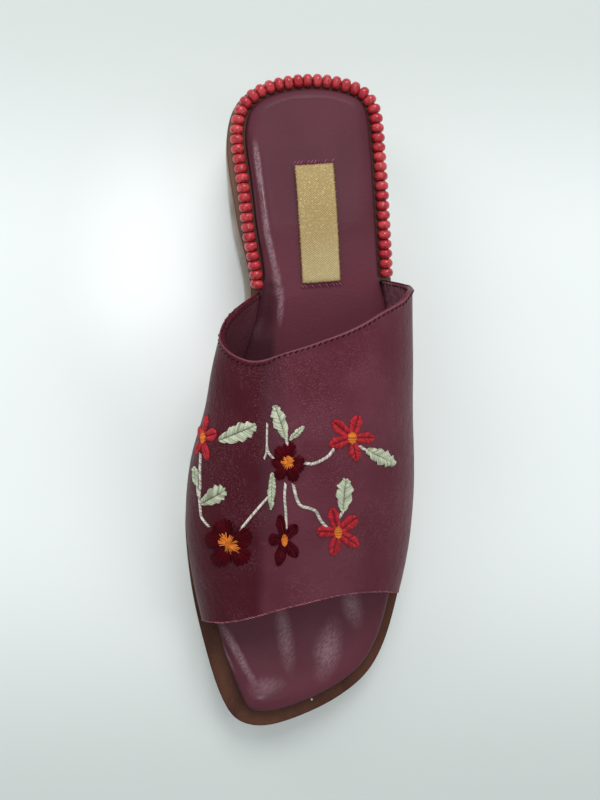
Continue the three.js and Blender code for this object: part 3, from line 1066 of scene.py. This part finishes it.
def footbed_finish():
    f = Finish("Burgundy footbed leather", Specular_IOR_Level=0.14, Coat_Roughness=0.22)
    cloud = f.noise(26, 4)
    crackle = f.noise(1500, 4, f.moved((0, 0, 0), -0.7, (1, 2.8, 1)))
    along = f.axis(1)
    # Painted light for the footbed in front of the collar, where the vamp shades it
    waist_painted_light = f.ease(along, 0, 26 * MM) * (1 - f.ease(along, 40 * MM, 78 * MM))
    # The pale streak along the shoulder's crest is painted highlight
    shoulder = f.ease(f.attribute("shoulder"), 0.25, 0.95) * f.ease(f.noise(60, 2), 0.3, 0.5)
    wear_and_sheen = shoulder * 0.85
    for middle, reach, turn, strength in FOOTBED_WEAR_AND_SHEEN:
        centre = [value * MM for value in middle]
        radii = [value * MM * WEAR_AND_SHEEN_FADE for value in reach]
        mask = f.spot(centre, radii, math.radians(turn), 0.22, 160) * strength
        wear_and_sheen = f.maths("MAXIMUM", wear_and_sheen, mask)
    f.ground(tone(78, 34, 45))
    f.lay(f.ease(cloud, 0.3, 0.7), colour("footbed"))
    f.lay(f.spot((0.002, 0.088), (0.034, 0.05), ragged=0.1, grain=40) * 0.16, tone(104, 62, 70))
    # Painted light lifting the footbed in front of the collar
    f.lay(waist_painted_light * 0.6, tone(120, 64, 76))
    # Painted shade on the footbed's sloping sides
    f.lay(f.attribute("side") * 0.6, tone(62, 24, 34))
    f.lay(f.attribute("shade"), tone(66, 32, 42))
    # Painted shade along the footbed's foot, where it meets the rim
    f.lay(f.attribute("foot"), tone(34, 14, 18))
    # Paler where rubbed, and painted sheen on the shoulder streak and the glossy patches
    f.lay(wear_and_sheen * (0.2 + f.ease(crackle, 0.3, 0.7) * 0.75), colour("footbed_wear_and_sheen"))
    f.lay(f.ease(f.cells(300), 0.03, 0.0) * 0.5, tone(58, 28, 36))
    f.rough(0.4 + cloud * 0.08 - wear_and_sheen * 0.12)
    f.coat((0.08 + wear_and_sheen * 0.9) * (1 - f.attribute("foot")))
    grain = f.cells(1500) * 0.45 + f.noise(3000, 2) * 0.35
    f.bump(grain + crackle * wear_and_sheen * 1.5, 0.24 * MM, 0.6)
    return f


def shoulder_drop(points):
    """Fall of the padding past its shoulder line, in metres.

    With it come the share of the crest on the line, and the share of shade past it under the vamp.
    """
    line = np.array(FOOTBED_SHOULDER)[::-1] * MM
    shoulder = np.interp(points[:, 1], line[:, 1], line[:, 0])
    ends = smooth_share(points[:, 1], line[0, 1], line[0, 1] + 12 * MM)
    ends *= 1 - smooth_share(points[:, 1], line[-1, 1] - 14 * MM, line[-1, 1])
    past = shoulder - points[:, 0]
    steps = past / SHOULDER_WIDTH
    fall = SHOULDER_SLOPE * SHOULDER_WIDTH * np.logaddexp(0, np.clip(steps, -30, 30))
    crest = np.exp(-(steps**2)) * ends
    under_vamp = 1 - smooth_share(points[:, 1], 44 * MM, 58 * MM)
    under_vamp *= smooth_share(points[:, 1], -50 * MM, -20 * MM)
    shade = smooth_share(past, 0, 3.5 * MM) * under_vamp * 0.8
    return fall * ends - SHOULDER_RIDGE * crest, crest, shade


def build_insole(vamp):
    """The padded footbed, which swells sideways to the lining under the vamp."""
    piece = cad_copy("insole", "footbed")
    cut_cross_edges(piece, shortest=14 * MM, cuts=9)
    subdivide(piece, 3)
    points, normals = points_of(piece), normals_of(piece)
    top = smooth_share(normals[:, 2], 0.35, 0.85)
    toe_top = (top > 0.8) & (points[:, 1] < -96 * MM)
    even_out(points, toe_top, reach=3.5 * MM)
    points[:, 2] -= fold_depth(points, FOOTBED_FOLDS) * top
    drop, crest, shade = shoulder_drop(points)
    points[:, 2] -= drop * top
    toe_end = smooth_share(points[:, 1], -66 * MM, -50 * MM)
    under_vamp = toe_end * (1 - smooth_share(points[:, 1], 38 * MM, 52 * MM))
    # foot: share of painted shade at the footbed's foot, weaker under the vamp
    foot = smooth_share(1 - normals[:, 2], 0.6, 0.95) * (1 - 0.6 * under_vamp)
    set_attribute(piece, "shoulder", crest * top)
    # side: share of painted shade on the footbed's sloping sides
    set_attribute(piece, "side", smooth_share(1 - normals[:, 2], 0.12, 0.5))
    set_attribute(piece, "shade", shade)
    set_attribute(piece, "foot", foot)
    swell = smooth_share(1 - np.abs(normals[:, 2]), 0.02, 0.5) * under_vamp
    lining = Leather(vamp)
    most = sizes().insole_fill
    for i in np.nonzero(swell > 0.01)[0]:
        way = math.copysign(1, normals[i, 0])
        points[i, 0] += way * lining.gap(Vector(points[i]), Vector((way, 0, 0)), most) * swell[i]
    set_points(piece, points)
    finish_piece(piece, footbed_finish(), ["insole"], 70)
    return piece


# Sole


def rim_finish():
    f = Finish("Brown rim", Specular_IOR_Level=0.12)
    streak = f.noise(90, 5, f.moved((0, 0, 0), 0, (1, 2.5, 0.4)))
    grain = f.noise(1300, 4)
    f.ground(colour("rim_dark"))
    f.lay(f.ease(streak, 0.32, 0.66), colour("rim"))
    f.lay(f.ease(grain, 0.5, 0.8) * 0.35, tone(112, 74, 54))
    f.lay(f.ease(f.axis(1), 20 * MM, 60 * MM) * 0.7, tone(132, 100, 86))
    scuff = f.ease(f.noise(160, 6), 0.66, 0.78) * f.ease(f.noise(900, 3), 0.45, 0.6)
    f.lay(scuff * 0.6, tone(160, 136, 118))
    f.lay(f.attribute("edge") * 0.6, tone(146, 118, 102))
    # Painted shade on the rim's rounded corners, where the top turns down
    f.lay(f.attribute("corner"), tone(44, 27, 24))
    f.lay(f.spot((0.005, -0.1182), (0.0006, 0.0006), ragged=0.1), tone(236, 226, 216))
    f.rough(0.46 + grain * 0.16)
    f.bump(grain * 0.5 + f.cells(1800) * 0.3, 0.15 * MM, 0.5)
    return f


def rubber_finish(name, colour_name, layers):
    """Taupe rubber, with faint layers on its sides where layers is set."""
    f = Finish(name, Specular_IOR_Level=0.3)
    base = colour(colour_name)
    dark = shaded(base, 0.66)
    f.ground(dark)
    f.lay(f.ease(f.noise(60, 5), 0.35, 0.65), base)
    f.lay(f.ease(f.noise(420, 5), 0.55, 0.8) * 0.5, shaded(base, 1.25))
    height = f.noise(1600, 4) * 0.6
    if layers:
        strata = f.noise(40, 3, f.moved((0, 0, 0), 0, (6, 6, 0.12)))
        f.lay(f.ease(strata, 0.52, 0.6) * 0.4, dark)
        height = height + strata * 0.4
    f.rough(0.58 + f.noise(300, 3) * 0.2)
    f.bump(height, 0.18 * MM, 0.5)
    return f


def build_sole():
    """The rim round the footbed, the lower layer and the heel block."""
    rim = cad_copy("midsole", "sole_rim")
    subdivide(rim, 3)
    side = 1 - np.abs(normals_of(rim)[:, 2])
    # corner: share of painted shade on faces sloping between the rim's top and its side
    corner = smooth_share(side, 0.06, 0.25) * (1 - smooth_share(side, 0.5, 0.8))
    set_attribute(rim, "edge", smooth_share(side, 0.5, 0.9))
    set_attribute(rim, "corner", 0.6 * corner)
    finish_piece(rim, rim_finish(), ["midsole"], 60)

    lower = cad_copy("outsole", "sole_lower_layer")
    subdivide(lower, 3)
    finish = rubber_finish("Taupe lower layer", "lower", False)
    finish_piece(lower, finish, ["outsole"], 60)

    heel = cad_copy("heel", "heel_lift")
    crease_sharp_edges(heel, sharpness=50, crease=0.75)
    subdivide(heel, 3)
    finish_piece(heel, rubber_finish("Taupe heel", "tread", True), ["heel"], 50)


# Beads

BEAD_RADIUS = 2.7 * MM
BEAD_BORE = 0.62 * MM
# The first bead leans towards the vamp, in degrees
FIRST_BEAD_TURN = -16
STRING_PLY = 0.24 * MM
STRING_TWIST = 2.4 * MM
STRING_STEP = 0.35 * MM


def bead_centres():
    """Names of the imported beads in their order, and the middle of each."""
    names = sorted(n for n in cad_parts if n.startswith("bead_") and n[5:].isdigit())
    boxes = [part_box(name) for name in names]
    return names, [(low + high) / 2 for low, high in boxes]


def bead_finish():
    f = Finish("Cherry lacquer", Specular_IOR_Level=0.1, Coat_Weight=0.8, Coat_Roughness=0.05)
    cloud = f.noise(420, 4)
    streak = f.noise(900, 4, f.moved((0, 0, 0), 0.4, (1, 1, 4)))
    f.ground(colour("bead"))
    f.lay(f.ease(cloud + f.attribute("tint") * 0.5, 0.4, 0.9), colour("bead_warm"))
    f.lay(f.ease(streak, 0.46, 0.62) * 0.65, tone(122, 20, 32))
    f.lay(f.ease(f.noise(1500, 3), 0.74, 0.8) * 0.6, tone(214, 120, 110))
    f.rough(0.42 + cloud * 0.12)
    f.bump(streak * 0.5 + f.noise(1200, 2) * 0.5, 0.14 * MM, 0.4)
    return f


def bead_shape(radius, length, bore):
    """A round wooden bead with a hole through it, along Z at the origin."""

    def on_rim(edge):
        level = abs(edge.verts[0].co.z - edge.verts[1].co.z) < 0.01 * MM
        return level and all(math.hypot(v.co.x, v.co.y) > radius * 0.9 for v in edge.verts)

    deselect_all()
    bpy.ops.mesh.primitive_cylinder_add(
        vertices=sizes().bead_sides, radius=radius, depth=length, end_fill_type="NGON"
    )
    piece = bpy.context.object
    with editing(piece, "DESELECT", "FACE"):
        select_parts(piece, "faces", lambda face: abs(face.normal.z) > 0.9)
        bpy.ops.mesh.inset(thickness=radius - bore, use_individual=True)
        bpy.ops.mesh.delete(type="ONLY_FACE")
        bpy.ops.mesh.select_mode(type="EDGE")
        bpy.ops.mesh.select_all(action="DESELECT")
        bpy.ops.mesh.select_non_manifold()
        bpy.ops.mesh.bridge_edge_loops()
        bpy.ops.mesh.select_all(action="DESELECT")
        select_parts(piece, "edges", on_rim)
        bpy.ops.mesh.bevel(offset=length * 0.46, segments=5, profile=0.5, clamp_overlap=True)
        bpy.ops.mesh.select_all(action="SELECT")
        bpy.ops.mesh.normals_make_consistent(inside=False)
    return piece


def build_beads():
    """One bead, copied to the place of each packed bead with its own girth, spin and tint."""
    rng = random.Random(21)
    names, centres = bead_centres()
    finish = bead_finish()
    pitch = (centres[1] - centres[0]).length
    model = bead_shape(BEAD_RADIUS, pitch - sizes().bead_gap, BEAD_BORE)
    count = len(model.data.vertices)
    last = len(centres) - 1
    for i, (name, centre) in enumerate(zip(names, centres)):
        way = centres[min(i + 1, last)] - centres[max(i - 1, 0)]
        if i == 0:
            way.rotate(Matrix.Rotation(math.radians(FIRST_BEAD_TURN), 3, "Z"))
        turn = way.to_track_quat("Z", "Y").to_matrix().to_4x4()
        spin = Matrix.Rotation(rng.uniform(0, math.tau), 4, "Z")
        girth = rng.uniform(0.965, 1.0)
        grow = Matrix.Diagonal((girth, girth, rng.uniform(0.96, 1.0), 1))
        piece = bpy.data.objects.new(f"wood_{name}", model.data.copy())
        bpy.context.collection.objects.link(piece)
        piece.data.transform(Matrix.Translation(centre) @ turn @ spin @ grow)
        set_attribute(piece, "tint", np.full(count, rng.random()))
        finish_piece(piece, finish, [name], 60)
    bpy.data.objects.remove(model)


def build_bead_string():
    """Two plies that twist round the line through the beads."""
    _, centres = bead_centres()
    ends = [centres[0] * 2 - centres[1], *centres, centres[-1] * 2 - centres[-2]]
    line = smooth_line(ends, STRING_STEP)
    runs = []
    for phase in (0, math.pi):
        run = []
        for i, (spot, ahead) in enumerate(zip(line, line[1:])):
            way = (ahead - spot).normalized()
            side = way.cross(Vector((0, 0, 1))).normalized()
            up = side.cross(way)
            turn = phase + math.tau * i * STRING_STEP / STRING_TWIST
            out = side * math.cos(turn) + up * math.sin(turn)
            run.append((spot + out * STRING_PLY * 0.85, 1))
        runs.append(run[6:-6])
    finish = thread_finish("Bead string", "seam", 0.5)
    threads("bead_string", runs, STRING_PLY * 2, finish, nodes=["bead_thread"])


# Label

TAB_LENGTH = 44 * MM
TAB_WIDTH = 14.5 * MM
TAB_STITCHES = 12
TAB_THREAD = 0.7 * MM
HAIR = 0.2 * MM
# Spacing of the weave's threads, along the tab and across it
YARN = 0.52 * MM
PICK = 0.44 * MM
# Fringe of the tab's long and short edges: hairs and share of the edge, then inset, reach and
# lean in millimetres
LONG_FRINGE = (110, 0.99, 0.3, (0.35, 0.8), 0.35)
SHORT_FRINGE = (44, 0.97, 0.35, (0.3, 0.75), 0.3)


def label_axes():
    """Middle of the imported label, and its length direction seen from above."""
    points = points_of(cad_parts["label"])
    middle = (points.min(0) + points.max(0)) / 2
    flat = points[:, :2] - points[:, :2].mean(0)
    _, _, ways = np.linalg.svd(flat, full_matrices=False)
    along = ways[0] if ways[0][1] > 0 else -ways[0]
    return Vector(middle), Vector((along[0], along[1], 0)).normalized()


def weave_finish(turn, centre):
    f = Finish("Gold weave", Specular_IOR_Level=0.5, Sheen_Weight=0.3, Sheen_Roughness=0.4)
    shares = f.moved(tuple(centre), turn)
    along = f.axis(1, shares)
    warp = f.maths("SINE", f.axis(0, shares) * (math.pi / YARN))
    weft = f.maths("SINE", along * (math.pi / PICK))
    crossing = warp * weft * 0.5 + 0.5
    f.ground(colour("label_shade"))
    f.lay(f.ease(crossing, 0.2, 0.8), colour("label"))
    f.lay(f.ease(f.noise(1600, 4), 0.5, 0.7) * 0.55, tone(226, 208, 150))
    f.lay((1 - f.ease(along, -22 * MM, 4 * MM)) * 0.55, tone(216, 198, 148))
    f.lay(f.ease(f.noise(70, 3), 0.35, 0.7) * 0.35, tone(164, 138, 84))
    f.rough(0.5 + f.noise(1400, 2) * 0.2)
    f.bump(crossing + f.noise(2500, 3) * 0.6, 0.16 * MM, 0.8)
    return f


def fringe_hairs(surface, centre, edge, out, fringe, rng):
    """Short hairs along two opposite edges of the tab; out runs from its middle to one of them."""
    count, share, inset, (shortest, longest), most_lean = fringe
    hairs = []
    for way in (-1, 1):
        for i in range(count):
            at = (i / (count - 1) - 0.5) * share
            root = surface.below(centre + edge * at + out * way * (1 - inset * MM / out.length))
            reach = out.normalized() * way * rng.uniform(shortest, longest) * MM
            lean = edge.normalized() * rng.uniform(-most_lean, most_lean) * MM
            drop = Vector((0, 0, -rng.uniform(0.0, 0.25) * MM))
            bend = root + reach * 0.6 + lean * 0.4
            hairs.append([(root, 1), (bend, 0.9), (root + reach + lean + drop, 0.4)])
    return hairs


def build_label(insole):
    """The bare woven tab with its fringe, and the stitches at both ends that hold it."""
    rng = random.Random(5)
    centre, along = label_axes()
    piece = cad_copy("label", "woven_tab")
    cut_cross_edges(piece, shortest=8 * MM, cuts=7)
    crease_sharp_edges(piece, sharpness=50, crease=0.9)
    subdivide(piece, 2)
    turn = math.atan2(along.y, along.x) - math.pi / 2
    finish_piece(piece, weave_finish(turn, centre), ["label"], 50)

    weave = Leather(piece)
    across = Vector((along.y, -along.x, 0))
    length, width = along * TAB_LENGTH, across * TAB_WIDTH
    hairs = fringe_hairs(weave, centre, length, width / 2, LONG_FRINGE, rng)
    hairs += fringe_hairs(weave, centre, width, length / 2, SHORT_FRINGE, rng)
    yarn = thread_finish("Gold yarn", "label", 0.5)
    threads("tab_fringe", hairs, HAIR, yarn, sides=4)

    hide = Leather(insole)
    near, far = TAB_LENGTH / 2 + 0.5 * MM, TAB_LENGTH / 2 + 1.9 * MM
    runs = []
    for end in (-1, 1):
        for i in range(TAB_STITCHES):
            at = ((i + 0.5) / TAB_STITCHES - 0.5) * TAB_WIDTH * 1.1
            out = centre + along * end * far + across * (at + 0.55 * MM)
            back = centre + along * end * near + across * (at - 0.55 * MM)
            middle = hide.below(out.lerp(back, 0.5), 0.35 * MM)
            ends = [hide.below(spot, -0.12 * MM) for spot in (out, back)]
            runs.append([(ends[0], 0.7), (middle, 1), (ends[1], 0.7)])
    threads("tab_stitches", runs, TAB_THREAD, thread_finish("Tab stitches", "tab_thread", 0.5))


# Stage

# Lights: place and width in metres, power in watts, and whether surfaces mirror them
LIGHTS = [
    {"name": "window", "at": (0.12, 1.05, 1.25), "size": 0.9, "power": 10.6, "mirrored": True},
    {"name": "inner side", "at": (-0.62, 0.6, 0.5), "size": 0.6, "power": 2.1, "mirrored": False},
    {"name": "side wall", "at": (0.9, 0.1, 1.0), "size": 0.7, "power": 2.2, "mirrored": False},
    {"name": "lamp", "at": (-0.06, 0.06, 0.85), "size": 0.03, "power": 1.0, "mirrored": True},
]
FLOOR_SIZE = 8
FLOOR_GAP = 0.2 * MM
SKY_STRENGTH = 0.62


def floor_finish():
    """A pale floor with painted shade past the toe and the heel, and a painted pool of light
    beside the heel.
    """
    f = Finish("Pale floor", Specular_IOR_Level=0.25, Roughness=0.75)
    along = f.axis(1)
    # Painted shade on the floor past the toe and past the heel
    f.ground(colour("floor_painted_shade"))
    f.lay(f.ease(along, -170 * MM, -40 * MM), colour("floor"))
    f.lay(f.ease(along, 60 * MM, 170 * MM) * 0.85, colour("floor_painted_shade"))
    # A painted pool of light on the floor beside the heel, cancelling the shoe's shadow
    painted_light_beside_heel = f.spot((-0.052, 0.056), (0.05, 0.08), ragged=0.02, grain=20)
    f.lay(painted_light_beside_heel * 0.75, tone(254, 255, 255))
    return f


def build_stage():
    """Floor, sky light, lamps, and a camera placed as the photograph's was."""
    deselect_all()
    bpy.ops.mesh.primitive_plane_add(size=FLOOR_SIZE, location=(0, 0, -FLOOR_GAP))
    floor = bpy.context.object
    bpy.ops.object.transform_apply(location=True)
    floor.name = "floor"
    floor.data.materials.append(floor_finish().material)

    scene = bpy.context.scene
    scene.view_settings.view_transform = "Standard"
    scene.view_settings.look = "None"
    world = bpy.data.worlds.new("Studio")
    world.use_nodes = True
    sky = world.node_tree.nodes["Background"].inputs
    sky["Color"].default_value = tone(236, 243, 246)
    sky["Strength"].default_value = SKY_STRENGTH
    scene.world = world

    for light in LIGHTS:
        bpy.ops.object.light_add(type="AREA", location=light["at"])
        lamp = bpy.context.object
        lamp.name = light["name"]
        lamp.visible_glossy = light["mirrored"]
        lamp.data.shape = "DISK"
        lamp.data.size = light["size"]
        lamp.data.energy = light["power"]
        lamp.rotation_euler = (-lamp.location).to_track_quat("-Z", "Y").to_euler()

    bpy.ops.object.camera_add(location=EYE)
    camera = bpy.context.object
    camera.name = "camera"
    back = (EYE - CAMERA_AIM).normalized()
    right = Vector((0, 1, 0)).cross(back).normalized()
    camera.rotation_euler = Matrix((right, back.cross(right), back)).transposed().to_euler()
    camera.data.sensor_width = SENSOR
    camera.data.lens = PHOTO_FOCAL / PHOTO_LONG_SIDE * SENSOR
    camera.data.clip_start = 0.01
    scene.camera = camera


# Operators


class SANDAL_OT_vamp(bpy.types.Operator):
    """Vamp leather with its folds and turned edge, its collar seam and its embroidery"""

    bl_idname = "sandal.vamp"
    bl_label = "Vamp"

    def execute(self, context):
        vamp, lines = build_vamp()
        build_collar_stitches(vamp, lines)
        build_toe_stitches(vamp, lines)
        build_embroidery(vamp)
        return {"FINISHED"}


class SANDAL_OT_insole(bpy.types.Operator):
    """Padded footbed with its wear and its painted light and shade, and the woven tab stitched on
    it
    """

    bl_idname = "sandal.insole"
    bl_label = "Insole"

    def execute(self, context):
        build_label(build_insole(bpy.data.objects["vamp_leather"]))
        return {"FINISHED"}


class SANDAL_OT_sole(bpy.types.Operator):
    """Rim, lower sole layer and heel"""

    bl_idname = "sandal.sole"
    bl_label = "Sole"

    def execute(self, context):
        build_sole()
        return {"FINISHED"}


class SANDAL_OT_beads(bpy.types.Operator):
    """Lacquered wooden beads on their string"""

    bl_idname = "sandal.beads"
    bl_label = "Beads"

    def execute(self, context):
        build_beads()
        build_bead_string()
        return {"FINISHED"}


class SANDAL_OT_stage(bpy.types.Operator):
    """Floor, soft lights and camera"""

    bl_idname = "sandal.stage"
    bl_label = "Stage"

    def execute(self, context):
        build_stage()
        return {"FINISHED"}


OPERATORS = (
    SANDAL_OT_vamp,
    SANDAL_OT_insole,
    SANDAL_OT_sole,
    SANDAL_OT_beads,
    SANDAL_OT_stage,
)


class SANDAL_PT_panel(bpy.types.Panel):
    """Lists the sandal's pieces, sizes and colours"""

    bl_idname = "SANDAL_PT_panel"
    bl_label = "Sandal"
    bl_space_type = "VIEW_3D"
    bl_region_type = "UI"
    bl_category = "Sandal"

    def draw(self, context):
        for operator in OPERATORS:
            self.layout.operator(operator.bl_idname)
        for group in (context.scene.sandal_sizes, context.scene.sandal_colours):
            for name in group.__annotations__:
                self.layout.prop(group, name)


CLASSES = (SandalColours, SandalSizes, *OPERATORS, SANDAL_PT_panel)


def register():
    for each in CLASSES:
        bpy.utils.register_class(each)
    bpy.types.Scene.sandal_colours = PointerProperty(type=SandalColours)
    bpy.types.Scene.sandal_sizes = PointerProperty(type=SandalSizes)


def unregister():
    del bpy.types.Scene.sandal_sizes
    del bpy.types.Scene.sandal_colours
    for each in reversed(CLASSES):
        bpy.utils.unregister_class(each)


def main():
    register()
    bpy.ops.sandal.vamp()
    bpy.ops.sandal.insole()
    bpy.ops.sandal.sole()
    bpy.ops.sandal.beads()
    bpy.ops.sandal.stage()


if __name__ == "__main__":
    main()
